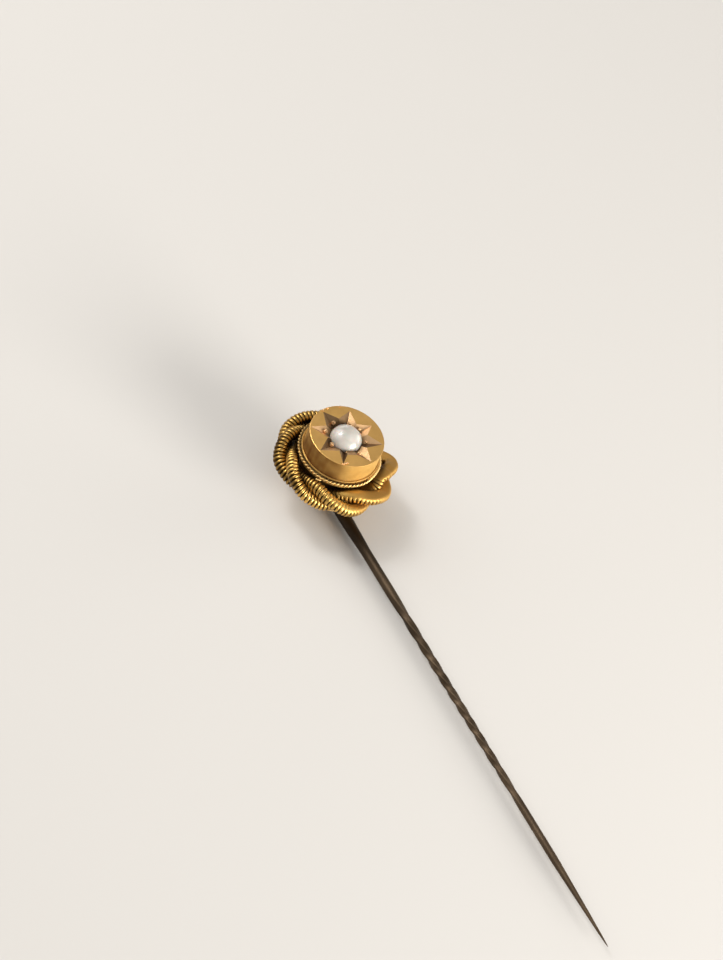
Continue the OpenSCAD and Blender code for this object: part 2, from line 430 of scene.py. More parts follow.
def cement_material():
    """Old cement: matte, speckled and brown."""
    material, nodes, links = new_material("cement")
    shader = nodes["Principled BSDF"]
    shader.inputs["Roughness"].default_value = 0.85
    speck = noise_texture(nodes, links, 5000)
    tone = ramped(nodes, links, speck, (0.16, 0.11, 0.07), (0.42, 0.34, 0.25))
    links.new(tone, shader.inputs["Base Color"])
    return material


# ---------------------------------------------------------------- face plate

# Material numbers on the face plate
PLAIN, CUT, SIDE = range(3)


def polar(r, degrees, z):
    """The point at height z that lies r from the head's axis, at an angle in degrees."""
    a = math.radians(degrees)
    return Vector((HEAD.x + r * math.cos(a), HEAD.y + r * math.sin(a), z))


def wall_shade(a, z):
    """Painted shade on the drum's side: dark on its left, in streaky clouds, and just above the rope.
    """
    left = float(bump_window(a, 189, 33, 30))
    foot = 1 - float(smoothstep(wall_low.z + 0.2 * MM, wall_low.z + 0.9 * MM, z))
    around = Vector((math.cos(a), math.sin(a), 0))
    cloud = noise.noise(around * 2.5 + Vector((0, 0, z / MM)))
    streak = noise.noise(around * 9 + Vector((3, 1, 0.5 * z / MM)))
    return min(max(left * (0.68 + 0.35 * cloud + 0.25 * streak) + 0.2 * foot, 0), 1)


def face_plate():
    """The round plate with its star of V cuts, the pearl's seat and the raised grains. Its cuts carry
    painted shade, and its side the same painted shade as the wall below it."""
    step = 360 / RAYS
    across, along = 10, 10
    verts, faces, marks, shade_and_grime = [], [], [], []

    def patch(rows, mark, shade_and_dirt=lambda p: 0.0):
        """Adds a grid of points, given as rows of equal length, with one material. Its last argument, a
        function of a point, gives the painted shade and grime there."""
        start, columns = len(verts), len(rows[0])
        for row in rows:
            verts.extend(row)
            shade_and_grime.extend(shade_and_dirt(p) for p in row)
        for face in grid_faces(len(rows), columns, wrap_columns=False, offset=start):
            faces.append(face)
            marks.append(mark)

    tips, corners, floors, ridges = [], [], [], []
    for k in range(RAYS):
        turn = STAR_TURN + k * step
        middle = turn + step / 2 + CORNER_LEAN[k]
        half = BLUNT_HALF if k == BLUNT_RAY else 0
        ridge_z = TOP_Z - RAY_DEPTH * rng.uniform(*RIDGE_DROP)
        floor_z = TOP_Z - RAY_DEPTH * rng.uniform(*FLOOR_DROP)
        tips.append(polar(TIP_REACH[k] * FACE_R, turn + TIP_LEAN[k], TOP_Z))
        floors.append(polar(SEAT_R, turn + 0.5 * TIP_LEAN[k], floor_z))
        corners.append([polar(CORNER_REACH[k] * FACE_R, middle + side, TOP_Z)
                        for side in (-half, half)])
        ridges.append([polar(SEAT_R, middle + side, ridge_z) for side in (-half, half)])

    def on_seat(p):
        """The nearest point of the pearl's seat at the same height."""
        away = Vector((p.x - HEAD.x, p.y - HEAD.y)).normalized() * SEAT_R
        return Vector((HEAD.x + away.x, HEAD.y + away.y, p.z))

    def by_pearl(p):
        """0 far from the pearl and 1 close to it."""
        return float(smoothstep(SHADE_FROM_R, SHADE_TO_R, (p - HEAD).xy.length))

    def facet(tip, corner, ridge, floor, shade):
        """One side of a V cut, and the short wall below it down to the seat."""
        rows = []
        for s in range(along + 1):
            a = s / along
            lower, upper = tip.lerp(floor, a), corner.lerp(ridge, a)
            row = [lower.lerp(upper, t / across) for t in range(across + 1)]
            if s == along:
                row = [on_seat(p) for p in row]
            rows.append(row)
        # Painted shade: the facet's own share, and more close to the pearl
        patch(rows, CUT, lambda p: shade + 0.5 * by_pearl(p))
        patch([rows[-1], [Vector((p.x, p.y, SEAT_Z)) for p in rows[-1]]], PLAIN)

    for k in range(RAYS):
        nxt = (k + 1) % RAYS
        near, far = corners[k]
        facet(tips[k], near, ridges[k][0], floors[k], RAY_PAINTED_SHADE[k][1])
        facet(tips[nxt], far, ridges[k][1], floors[nxt], RAY_PAINTED_SHADE[nxt][0])
        outline = [tips[k].lerp(near, t / across) for t in range(across)]
        if k == BLUNT_RAY:
            facet(near, far, ridges[k][1], ridges[k][0], BLUNT_PAINTED_SHADE)
            outline += [near.lerp(far, t / across) for t in range(across)]
        outline += [far.lerp(tips[nxt], t / across) for t in range(across + 1)]
        turns = [STAR_TURN + (k + t / (len(outline) - 1)) * step for t in range(len(outline))]
        rows = [[p.lerp(polar(FACE_R - RIM_BEVEL, a, TOP_Z), s / along) for p, a in zip(outline, turns)]
                for s in range(along + 1)]
        patch(rows, PLAIN)
        bottom = wall_high.z
        rim = [(FACE_R - RIM_BEVEL, TOP_Z), (FACE_R - 0.25 * RIM_BEVEL, TOP_Z - 0.3 * RIM_BEVEL),
               (FACE_R, TOP_Z - RIM_BEVEL)]
        patch([[polar(r, a, z) for a in turns] for r, z in rim], PLAIN)
        side = [(FACE_R, TOP_Z - RIM_BEVEL), (FACE_R, bottom), (0.5 * FACE_R, bottom), (0, bottom)]
        # The side carries the same painted shade as the drum's wall
        patch([[polar(r, a, z) for a in turns] for r, z in side], SIDE,
              lambda p: wall_shade(math.atan2(p.y - HEAD.y, p.x - HEAD.x), p.z))
        patch([[polar(r, a, SEAT_Z) for a in turns] for r in (SEAT_R, 0)], PLAIN)

    for k in range(RAYS):
        turn = STAR_TURN + k * step + rng.uniform(-5, 5)
        grain(verts, faces, marks, GRAIN_R * GRAIN_SIZES[k],
              polar(GRAIN_RING_R[k], turn, TOP_Z - GRAIN_R * rng.uniform(1.0, 1.3)))
    for reach, turn in BURRS:
        grain(verts, faces, marks, BURR_R, polar(reach * FACE_R, turn, TOP_Z + 0.4 * BURR_R))
    shade_and_grime.extend([0.1] * (len(verts) - len(shade_and_grime)))
    return make_piece("face_plate_cut", verts, faces, [face_gold, cut_gold, drum_gold],
                      ["face_plate"], crease=16, fields={"shade_and_grime": shade_and_grime}, marks=marks)


def grain(verts, faces, marks, r, centre):
    """Adds a lopsided bead of metal, pushed up by the graver, to a piece's lists."""
    rings, sides = 11, 20
    shift = Vector(rng.uniform(0, 50, 3))
    start = len(verts)
    for j in range(rings):
        lift = math.pi * (j / (rings - 1) - 0.5)
        for i in range(sides):
            a = 2 * math.pi * i / sides
            d = Vector((math.cos(lift) * math.cos(a), math.cos(lift) * math.sin(a), math.sin(lift)))
            verts.append(centre + d * r * (1 + 0.35 * noise.noise(d * 1.5 + shift)))
    for face in grid_faces(rings, sides, offset=start):
        faces.append(face)
        marks.append(CUT)


# ---------------------------------------------------------------- swept wires

def closed_wire(name, points, radius, sides, materials, stands_for, fields=None):
    """A round wire along a closed path round the head. radius is one number or one per point."""
    radial = points - np.array(HEAD)
    radial[:, 2] = 0
    ahead = np.roll(points, -1, 0) - np.roll(points, 1, 0)
    up = np.cross(ahead, radial)
    up /= np.linalg.norm(up, axis=1, keepdims=True)
    out = np.cross(up, ahead)
    out /= np.linalg.norm(out, axis=1, keepdims=True)
    psi = 2 * np.pi * np.arange(sides) / sides
    ring = np.cos(psi)[None, :, None] * out[:, None, :] + np.sin(psi)[None, :, None] * up[:, None, :]
    radius = np.broadcast_to(np.asarray(radius, float), (len(points),))
    verts = (points[:, None, :] + radius[:, None, None] * ring).reshape(-1, 3)
    faces = grid_faces(len(points), sides, wrap_rows=True)
    return make_piece(name, verts, faces, materials, stands_for, 60, fields)


def rope_wire(k):
    """One of the two twisted wires of the border, with painted shade in the grooves between the
    wires. On the right-hand side the two are worn into one smooth edge, which has no painted shade."""
    steps, sides = 20 * ROPE_TURNS, 12
    a = 2 * np.pi * np.arange(steps) / steps
    s = ROPE_TURNS * a + np.pi * k
    smooth = bump_window(a, 318, 26, 12)
    uneven = 0.02 * MM * np.sin(3 * a + 1) + 0.015 * MM * np.sin(7 * a)
    swing = ROPE_WIRE_R * (1.12 - 0.87 * smooth)
    radius = ROPE_WIRE_R * (1.06 + 0.49 * smooth)
    r = ROPE_R + uneven + swing * np.cos(s)
    z = ROPE_Z + swing * np.sin(s)
    points = np.stack([HEAD.x + r * np.cos(a), HEAD.y + r * np.sin(a), z], 1)
    psi = 2 * np.pi * np.arange(sides) / sides
    outwards = np.cos(psi[None, :] - s[:, None])
    # Painted shade in the grooves, where the wire turns in towards the other, none where the two are
    # worn smooth
    shade_and_grime = (1 - smoothstep(-0.5, 0.1, outwards)) * (1 - smooth[:, None])
    return closed_wire(f"rope_wire_{k + 1}_worn", points, radius, sides, [rope_gold],
                       [f"rope_wire_{k + 1}"], {"shade_and_grime": shade_and_grime.ravel()})


def loose_end():
    """The end of one wire of the border, standing off it where its ends meet."""
    rings, sides = 12, 16
    a = np.radians(np.linspace(LOOSE_END_TURN - 3.5, LOOSE_END_TURN + 3.5, rings))
    along = np.linspace(-1, 1, rings)
    radius = ROPE_WIRE_R * 0.9 * np.sqrt(np.clip(1 - along ** 6, 0, 1)) + LEAST_R
    r = ROPE_R + (3.9 - 0.9 * along) * ROPE_WIRE_R
    psi = 2 * np.pi * np.arange(sides) / sides
    reach = r[:, None] + radius[:, None] * np.cos(psi)[None, :]
    z = ROPE_Z - 0.8 * ROPE_WIRE_R + radius[:, None] * np.sin(psi)[None, :]
    verts = np.stack([HEAD.x + reach * np.cos(a)[:, None], HEAD.y + reach * np.sin(a)[:, None], z], -1)
    first_end = list(range(sides))
    last_end = [(rings - 1) * sides + i for i in reversed(range(sides))]
    faces = grid_faces(rings, sides) + [first_end, last_end]
    return make_piece("rope_loose_end", verts.reshape(-1, 3), faces, [rope_gold], crease=60)


def foot_wire():
    """A thin plain wire in the corner between wall and rope, painted dark as shade in that corner
    but for two stretches, where less shade is painted."""
    steps, sides = 240, 12
    a = 2 * np.pi * np.arange(steps) / steps
    z = foot_low.z + FOOT_WIRE_R - 0.03 * MM * (1 + np.sin(2 * a + 0.5)) / 2
    points = np.stack([HEAD.x + FOOT_RING_R * np.cos(a), HEAD.y + FOOT_RING_R * np.sin(a), z], 1)
    # Painted shade in the corner, with less of it in two stretches
    less_shaded = np.maximum(bump_window(a, 173, 5, 6), 0.25 * bump_window(a, 300, 30, 20))
    shade_and_grime = np.repeat(0.52 * (1 - less_shaded), sides)
    return closed_wire("foot_wire_plain", points, FOOT_WIRE_R, sides, [drum_gold],
                       ["foot_wire"], {"shade_and_grime": shade_and_grime})


# ---------------------------------------------------------------- wreath

def strand_phase(k, a):
    """Where strand k stands in its swing at angles a, in radians. 0 is its outer bulge."""
    return SWINGS * (math.radians(BULGE_TURN) - a) + 2 * math.pi * k / STRANDS


def behind_drum(k, a):
    """1 where strand k rises out of sight behind the drum's right-hand side."""
    return bump_window(a, 352, 20, 16) * bump_window(strand_phase(k, a), 150, 70, 40)


def strand_path(k, a):
    """Points of strand k at angles a. Underneath, the strands are tucked in towards the back plate,
    and a few places are pressed in or out, as on an old wreath."""
    phase = strand_phase(k, a)
    r = WREATH_R + SWING * np.cos(phase)
    z = WREATH_Z + SWING * np.sin(phase)
    tuck = np.maximum(0, -np.sin(phase))
    r -= 0.30 * MM * tuck
    z += 0.12 * MM * tuck
    # The whole wreath is pressed in at one place on its right
    r -= 0.60 * MM * bump_window(a, 17, 14, 20)
    # The upper strands are pressed in and up at one crossing
    pressed = bump_window(a, 318, 8, 14) * np.maximum(0, np.sin(phase))
    r -= 0.35 * MM * pressed
    z += 0.15 * MM * pressed
    # The strands lie lower on their inner side, and most of all on the right
    inner = np.maximum(0, -np.cos(phase))
    z -= (0.28 + 0.42 * bump_window(a, 345, 40, 25)) * MM * inner
    hidden = behind_drum(k, a)
    r -= 0.45 * MM * hidden
    z -= 0.75 * MM * hidden
    # The bulge nearest the stem stands out, and lower
    bulge = bump_window(a, 250, 16, 24) * np.maximum(0, np.cos(phase))
    r += 0.10 * MM * bulge
    z -= 0.12 * MM * bulge
    return np.stack([HEAD.x + r * np.cos(a), HEAD.y + r * np.sin(a), z], -1)


def strand_axes(k, a):
    """Centre of strand k at angles a, and its directions ahead, up and out."""
    centre = strand_path(k, a)
    ahead = strand_path(k, a + 1e-3) - strand_path(k, a - 1e-3)
    ahead /= np.linalg.norm(ahead, axis=-1, keepdims=True)
    radial = np.stack([np.cos(a), np.sin(a), np.zeros_like(a)], -1)
    up = np.cross(ahead, radial)
    up /= np.linalg.norm(up, axis=-1, keepdims=True)
    return centre, ahead, up, np.cross(up, ahead)


def right_side(a):
    """1 on the head's right-hand side, where the strands are fuller and worn."""
    turn = either_way(a)
    return smoothstep(-122, -78, turn) * (1 - smoothstep(2, 16, turn))


def shaped(radius, right, out_share, rise):
    """A strand's radius with its fuller inner side and its flat top. out_share and rise are how far
    the direction points out and up."""
    radius = radius + right * (0.5 - 0.5 * out_share) * FULL_SHARE * STRAND_R
    top = FLAT_HEIGHT * STRAND_R / np.maximum(rise, 1e-3)
    cut = right * smoothstep(0.0, 0.25, rise)
    return radius * (1 - cut) + (radius ** -SHOULDER + top ** -SHOULDER) ** (-1 / SHOULDER) * cut


def settled(k, points, centre):
    """Points of strand k's skin, moved where they would lie in another piece: part of the way out
    of a neighbouring strand, and onto the surfaces of the collar, the back plate and the flange."""
    seam = math.radians(SEAM_TURN)
    for other in range(STRANDS):
        if other == k:
            continue
        a = seam + (np.arctan2(points[..., 1] - HEAD.y, points[..., 0]) - seam) % (2 * np.pi)
        axis, ahead, up, out = strand_axes(other, a)
        offset = points - axis
        offset -= (offset * ahead).sum(-1, keepdims=True) * ahead
        distance = np.maximum(np.linalg.norm(offset, axis=-1), 1e-6)
        away = offset / distance[..., None]
        limit = shaped(STRAND_R, right_side(a), (away * out).sum(-1), away[..., 2])
        apart = np.linalg.norm(centre - axis, axis=-1) > 0.5 * STRAND_R
        depth = np.maximum(limit - distance, 0) * apart
        points = points + GIVE_WAY * depth[..., None] * away

    x, y, z = points[..., 0] - HEAD.x, points[..., 1] - HEAD.y, points[..., 2]
    r = np.hypot(x, y)
    kept_r = np.maximum(r, COLLAR_R)
    rise = np.clip((kept_r - FLANGE_R) / FLANGE_SLOPE + 1, 0, 1)
    ceiling = flange_low.z + rise * (flange_high.z - FLANGE_EDGE - flange_low.z)
    z = np.where(kept_r < FLANGE_R, np.minimum(z, ceiling), z)
    share = np.clip((kept_r - BACK_FLAT_R) / (BACK_R - BACK_FLAT_R), 0, 1)
    ground = back_low.z + BACK_THICK + BACK_DISH * share ** 2
    z = np.where(kept_r < BACK_R, np.maximum(z, ground), z)
    return np.stack([HEAD.x + x * kept_r / r, HEAD.y + y * kept_r / r, z], -1)


def far_from_stem(a):
    """1 on the petals furthest from the stem, which are rubbed and dull."""
    return bump_window(a, 112, 34, 22)


def facing_up(rise):
    """1 where the skin faces up, 0 where it faces sideways or down. rise is the upward part of the
    direction that it faces."""
    return smoothstep(0.1, 0.75, rise)


def strand_wear(k, a, rise):
    """How far the ribs of strand k are worn down: 0 where they stand full, 1 where they are gone."""
    turn = either_way(a)
    phase = either_way(strand_phase(k, a))
    high = facing_up(rise)
    tip = 1 - smoothstep(14, 60, phase)
    patchy = 0.12 * np.sin(7.3 * a + 2 * k) * np.sin(2.9 * a + 1)
    low_side = smoothstep(-155, -120, turn) * (1 - smoothstep(2, 16, turn))
    thinned = 0.2 + 0.55 * low_side + 0.2 * far_from_stem(a) + patchy
    worn = np.clip(right_side(a) * np.maximum(high, 0.9 * tip) + thinned * high, 0, 0.97)
    # A few turns stay full where a strand comes out from under the drum
    kept = smoothstep(-75, -60, turn) * (1 - smoothstep(-38, -26, turn)) * smoothstep(92, 112, phase)
    return worn * (1 - kept)


def strand_shade_and_grime(k, a, out_share, rise, gap, centre_r):
    """Painted shade and grime on strand k: painted shade between the ribs, where gap is how deep a
    point lies between them, on its inner side, under the drum and in the crevice round it, and a
    darker tone in places."""
    phase = either_way(strand_phase(k, a))
    right = right_side(a)
    # Painted shade on the inner side, under the drum and in the crevice round the drum
    inner = smoothstep(-0.1, 0.8, -out_share) * (1 - smoothstep(0.3, 0.9, rise))
    buried = 0.6 * smoothstep(116, 158, phase) + 0.6 * behind_drum(k, a)
    crevice_r = (4.0 + 0.15 * right) * MM
    crevice = 0.8 * (1 - smoothstep(crevice_r, crevice_r + 0.5 * MM, centre_r))
    flank = bump_window(a, 168, 26, 18) * smoothstep(0.1, 0.8, out_share)
    flank = flank * (1 - smoothstep(45, 70, phase))
    # Painted shade between the ribs
    gaps = smoothstep(0.12 - 0.12 * flank, 0.65 - 0.38 * flank, gap)
    gaps = gaps * (1 - 0.3 * right) * (1 - 0.5 * far_from_stem(a))
    # Darker in places: the left-hand flank, the petals far from the stem and two bands on the lower
    # left
    dull = bump_window(a, 208, 14, 16) * smoothstep(45, 75, phase) * (1 - smoothstep(172, 180, phase))
    low_left = bump_window(a, 244, 12, 12)
    darker_in_places = 0.06 + 0.54 * flank + 0.40 * far_from_stem(a) + 0.30 * dull + 0.14 * low_left
    return np.clip(gaps + 0.55 * inner + buried + crevice + darker_in_places, 0, 1)


def spiral_faces(rows, sides, per_turn):
    """Quads over a spiral skin of rows of points, where each row runs on into the row that lies
    per_turn further along, and the rims of its two open ends."""
    faces = []
    for j in range(rows - 1):
        for i in range(sides):
            shift = per_turn if i == sides - 1 else 0
            if j + 1 + shift < rows:
                i2 = (i + 1) % sides
                faces.append((j * sides + i, (j + shift) * sides + i2,
                              (j + 1 + shift) * sides + i2, (j + 1) * sides + i))
    start_rim = list(range(sides)) + [j * sides for j in range(per_turn, 0, -1)]
    end_rim = [(rows - 1) * sides + i for i in range(sides)]
    end_rim += [j * sides + sides - 1 for j in range(rows - 2, rows - 2 - per_turn, -1)]
    return faces, (start_rim, end_rim)


def strand_coil(k):
    """Wire wound turn against turn on strand k, as one spiral skin. On the right-hand side the
    strand is fuller, its top is worn flat and its bulges are worn smooth."""
    per_turn, sides = 10, 32
    seam = math.radians(SEAM_TURN)
    fine = np.linspace(seam - 0.2, seam + 2 * np.pi + 0.2, 4001)
    path = strand_path(k, fine)
    run = np.concatenate([[0], np.cumsum(np.linalg.norm(np.diff(path, axis=0), axis=1))])
    first, last = np.interp([seam, seam + 2 * np.pi], fine, run)
    pitch = (last - first) / WINDINGS

    # One rib: a gap, then a round over the wire
    lean = np.radians(np.linspace(-80, 80, per_turn - 1))
    rib_x = np.concatenate([[-0.5 * pitch], 0.5 * WINDING_D * np.sin(lean)])
    rib_h = np.concatenate([[-GAP_DEPTH], 0.5 * WINDING_D * np.cos(lean)])
    jitter = rng.normal(0, 0.016 * MM, WINDINGS + 1)
    swell = np.repeat(1 + rng.normal(0, 0.03, WINDINGS), per_turn)

    # Each turn starts and ends on the strand's inner side, so that the coil's two ends are hidden
    psi = np.pi + 2 * np.pi * np.arange(sides) / sides
    base = np.repeat(np.arange(WINDINGS), per_turn) * pitch + np.tile(rib_x, WINDINGS) + 0.5 * pitch
    s = base[:, None] + pitch * (psi[None, :] / (2 * np.pi) - 1)
    s = s + np.interp(s / pitch, np.arange(WINDINGS + 1), jitter)
    a = np.interp(first + s, run, fine)
    centre, _, up, out = strand_axes(k, a)
    away = np.cos(psi)[None, :, None] * out + np.sin(psi)[None, :, None] * up
    out_share, rise = np.cos(psi)[None, :], away[..., 2]

    worn = strand_wear(k, a, rise)
    ribbed_r = STRAND_R - 0.5 * WINDING_D + (np.tile(rib_h, WINDINGS) * swell)[:, None]
    smooth_r = STRAND_R - 0.035 * MM
    radius = shaped(ribbed_r * (1 - worn) + smooth_r * worn, right_side(a), out_share, rise)
    skin = settled(k, centre + radius[..., None] * away, centre)

    gap = np.clip((STRAND_R - ribbed_r) / (0.5 * WINDING_D), 0, 1) * (1 - worn)
    centre_r = np.linalg.norm(skin[..., :2] - np.array(HEAD.xy), axis=-1)
    shade_and_grime = strand_shade_and_grime(k, a, out_share, rise, gap, centre_r)
    satin = right_side(a) * facing_up(rise) * worn

    # The ends are closed with a fan of faces about a hub; the hubs are painted fully in shade
    verts = skin.reshape(-1, 3)
    faces, rims = spiral_faces(WINDINGS * per_turn, sides, per_turn)
    for rim in rims:
        hub = len(verts)
        verts = np.vstack([verts, verts[rim].mean(0)])
        faces += [(rim[i], rim[(i + 1) % len(rim)], hub) for i in range(len(rim))]
    fields = {"shade_and_grime": np.append(shade_and_grime.ravel(), [1, 1]), "satin": np.append(satin.ravel(), [0, 0])}
    return make_piece(f"strand_coil_{k + 1}_wound", verts, faces, [coil_gold],
                      [f"strand_coil_{k + 1}", f"strand_core_{k + 1}"], 75, fields)


# ---------------------------------------------------------------- pearl, drum and back

def half_pearl():
    """A half pearl, a little out of round, with a flat base."""
    rings, sides = 40, 96
    girdle = pearl_low.z + 0.2 * MM
    verts = []
    for j in range(rings):
        lift = math.pi / 2 * j / (rings - 1)
        for i in range(sides):
            a = 2 * math.pi * i / sides
            d = Vector((math.cos(lift) * math.cos(a), math.cos(lift) * math.sin(a), math.sin(lift)))
            swell = 1 - 0.01 * (0.5 + noise.noise(d * 1.1 + Vector((3, 1, 5))))
            verts.append((HEAD.x + PEARL_R * swell * d.x, HEAD.y + PEARL_R * swell * d.y,
                          girdle + (pearl_high.z - girdle) * swell * d.z))
    faces = grid_faces(rings, sides)
    start = len(verts)
    for r in (PEARL_R * 0.985, PEARL_R * 0.93, 0.0):
        z = girdle - 0.1 * MM if r > 0.95 * PEARL_R else pearl_low.z
        for i in range(sides):
            a = 2 * math.pi * i / sides
            verts.append((HEAD.x + r * math.cos(a), HEAD.y + r * math.sin(a), z))
    faces += grid_faces(3, sides, offset=start)
    faces += [[i, (i + 1) % sides, start + (i + 1) % sides, start + i] for i in range(sides)]
    return make_piece("half_pearl_nacre", verts, faces, [pearl_material()], ["half_pearl"], 50)


def drum_parts():
    """The drum's wall, the flange under it and the cement under the pearl."""
    inner = (wall_high.x - wall_low.x) / 2 - WALL_THICK
    heights = np.linspace(wall_low.z, wall_high.z, 16)
    outline = [(inner, wall_low.z)] + [(FACE_R, z) for z in heights] + [(inner, wall_high.z)]
    lathe("drum_wall_turned", outline, [drum_gold], ["drum_wall"], wobble=0.015 * MM,
          shade_and_grime_at=wall_shade)
    outline = [(0, flange_low.z), (FLANGE_R - FLANGE_SLOPE, flange_low.z),
               (FLANGE_R, flange_high.z - FLANGE_EDGE), (FLANGE_R, flange_high.z), (0, flange_high.z)]
    lathe("drum_flange_turned", rounded(outline, 0.04 * MM), [drum_gold],
          ["drum_flange"], wobble=0.01 * MM)
    outline = [(0, bed_low.z), (SEAT_R, bed_low.z), (SEAT_R, bed_high.z), (0, bed_high.z)]
    lathe("pearl_bed_cement", rounded(outline, 0.05 * MM), [cement_material()],
          ["pearl_bed"])


def rounded_edge(low, high, steps=8):
    """A half round between the two ends of a sheet's edge, given as (r, z)."""
    radius = (high[1] - low[1]) / 2
    middle = (low[0] - radius, (low[1] + high[1]) / 2)
    turns = [math.pi * (i / steps - 0.5) for i in range(steps + 1)]
    return [(middle[0] + radius * math.cos(t), middle[1] + radius * math.sin(t)) for t in turns]


def back_parts():
    """The collar in the middle of the wreath, and the dished plate behind it."""
    inner = COLLAR_R - WALL_THICK
    outline = [(inner, collar_low.z), (COLLAR_R, collar_low.z), (COLLAR_R, collar_high.z),
               (inner, collar_high.z)]
    lathe("centre_collar_turned", rounded(outline, 0.05 * MM), [back_gold],
          ["centre_collar"])
    under = [(BACK_FLAT_R + (BACK_R - BACK_FLAT_R) * t, back_low.z + BACK_DISH * t * t)
             for t in np.linspace(0, 1, 25)]
    over = [(r, z + BACK_THICK) for r, z in under[::-1]]
    outline = [(0, back_low.z)] + under[:-1] + rounded_edge(under[-1], over[0]) + over[1:]
    outline.append((0, back_low.z + BACK_THICK))
    lathe("back_plate_turned", outline, [back_gold], ["back_plate"], wobble=0.02 * MM)


def along_stem(name, stations, outline, material, stands_for, crease=50, shade_and_grime_at=None):
    """A solid along Y. stations are y values, and outline(y) gives a closed ring of (x, z) points.
    The last argument, a function of a point, gives the painted shade and grime there."""
    verts, columns = [], len(outline(stations[0]))
    for y in stations:
        verts += [(x, y, z) for x, z in outline(y)]
    faces = grid_faces(len(stations), columns)
    last = (len(stations) - 1) * columns
    faces.append(list(range(columns)))
    faces.append(list(range(last + columns - 1, last - 1, -1)))
    fields = {"shade_and_grime": [shade_and_grime_at(p) for p in verts]} if shade_and_grime_at else None
    return make_piece(name, verts, faces, [material], stands_for, crease, fields)


def stem_radius(y):
    """The radius at y of the round wire that the stem is made from."""
    if y > TAPER_TOP:
        return STEM_HEAD_R
    if y > SHANK_HALF:
        return SHANK_R + (STEM_HEAD_R - SHANK_R) * (y - SHANK_HALF) / (TAPER_TOP - SHANK_HALF)
    if y > -SHANK_HALF:
        return SHANK_R
    if y > TWIST_END:
        return SHANK_R + (LOWER_R - SHANK_R) * (y + SHANK_HALF) / (TWIST_END + SHANK_HALF)
    if y > LOWER_END:
        return LOWER_R
    t = (LOWER_END - y) / (LOWER_END - stem_low.y)
    return LOWER_R * math.sqrt(max(1 - t, 0)) * (1 - 0.25 * t) + POINT_R


def stem_outline(y):
    """The stem's section at y: round, or a square with round corners that turns with the twist."""
    share = (-SHANK_HALF - y) / (-SHANK_HALF - TWIST_END)
    square = float(smoothstep(0.0, 0.07, share) * (1 - smoothstep(0.9, 1.0, share)))
    turn = 0.0
    if share > 0:
        turn = math.radians(TWIST_TURN)
        if share < 1:
            turn *= float(smoothstep(-0.05, 1.05, share))
    r, sides = stem_radius(y), 32
    ring = []
    for i in range(sides):
        a = 2 * math.pi * i / sides
        flat = SQUARE_FLAT / max(abs(math.cos(a)), abs(math.sin(a)))
        reach = (1 - square) + square * min(flat, SQUARE_CORNER)
        ring.append((r * reach * math.cos(a + turn), r * reach * math.sin(a + turn)))
    return ring


def stem_shade_and_tarnish(p):
    """Tarnish and painted shade on the stem: dark near the head, from tarnish and as painted shade,
    darker in patches of tarnish, and cleaner towards the point.
    """
    cloud = noise.noise(Vector((900 * p[0], 350 * p[1], 900 * p[2])))
    near = 1 - float(smoothstep(-16 * MM, 26 * MM, -p[1]))
    return min(max(0.20 + 0.55 * near + 0.35 * cloud, 0), 1)


def stem():
    """Round at the head, a twisted square in the middle, round again and drawn to a point."""
    ends = (stem_high.y, SHANK_HALF, -SHANK_HALF, TWIST_END, LOWER_END, stem_low.y)
    counts = (60, 20, 330, 24, 80)
    stations = [ends[0]]
    for start, end, count in zip(ends, ends[1:], counts):
        stations.extend(np.linspace(start, end, count)[1:])
    return along_stem("stem_twisted", stations, stem_outline, stem_gold, ["stem"],
                      shade_and_grime_at=stem_shade_and_tarnish)


def stem_socket():
    """The cup under the back plate, with a fillet of solder where the two meet. Its bore is full
    of the stem's end and not seen, so it is solid here."""
    r = -socket_low.z
    back, front = socket_high.y, socket_low.y
    cap = [back - r * (1 - math.cos(t)) for t in np.linspace(0, math.pi / 2, 12)]
    stations = cap + list(np.linspace(cap[-1], front, 20)[1:])
    fillet = 0.35 * MM

    def outline(y):
        """The cup's section at y, with its fillet at the top."""
        drop = min(max((y - (back - r)) / r, 0), 1)
        size = r * math.sqrt(max(1 - drop ** 2, 0.0)) + LEAST_R
        lip = 0.06 * MM * float(smoothstep(front + 0.2 * MM, front, y))
        ring = []
        for i in range(32):
            a = 2 * math.pi * i / 32
            x, z = (size - lip) * math.cos(a), (size - lip) * math.sin(a)
            if z > 0.45 * size:
                spread = (z / size - 0.45) / 0.55
                x += math.copysign(fillet * spread ** 2, x) if abs(x) > 1e-7 else 0
            ring.append((x, min(z, back_low.z + 0.05 * MM)))
        return ring

    return along_stem("stem_socket_soldered", stations, outline, back_gold, ["stem_socket"])


face_plate()
half_pearl()
drum_parts()
foot_wire()
for wire in range(2):
    rope_wire(wire)
loose_end()
for strand in range(STRANDS):
    strand_coil(strand)
back_parts()
stem_socket()
stem()


# ---------------------------------------------------------------- floor, lights and camera

# The camera's axes in the part's frame
CAMERA_RIGHT = Vector((0.834, -0.4715, 0.287)).normalized()
CAMERA_BACK = Vector((-0.507, -0.447, 0.737)).normalized()
CAMERA_UP = CAMERA_BACK.cross(CAMERA_RIGHT).normalized()
CAMERA_RIGHT = CAMERA_UP.cross(CAMERA_BACK)
ROPE_CENTRE = Vector((HEAD.x, HEAD.y, ROPE_Z))
# The camera looks at a point beside the head, towards the stem, so that the whole pin is in view
CAMERA_AIM = ROPE_CENTRE + CAMERA_RIGHT * 1.995 * MM - CAMERA_UP * 2.52 * MM
CAMERA_DISTANCE = 300 * MM
CAMERA_LENS = 122.9


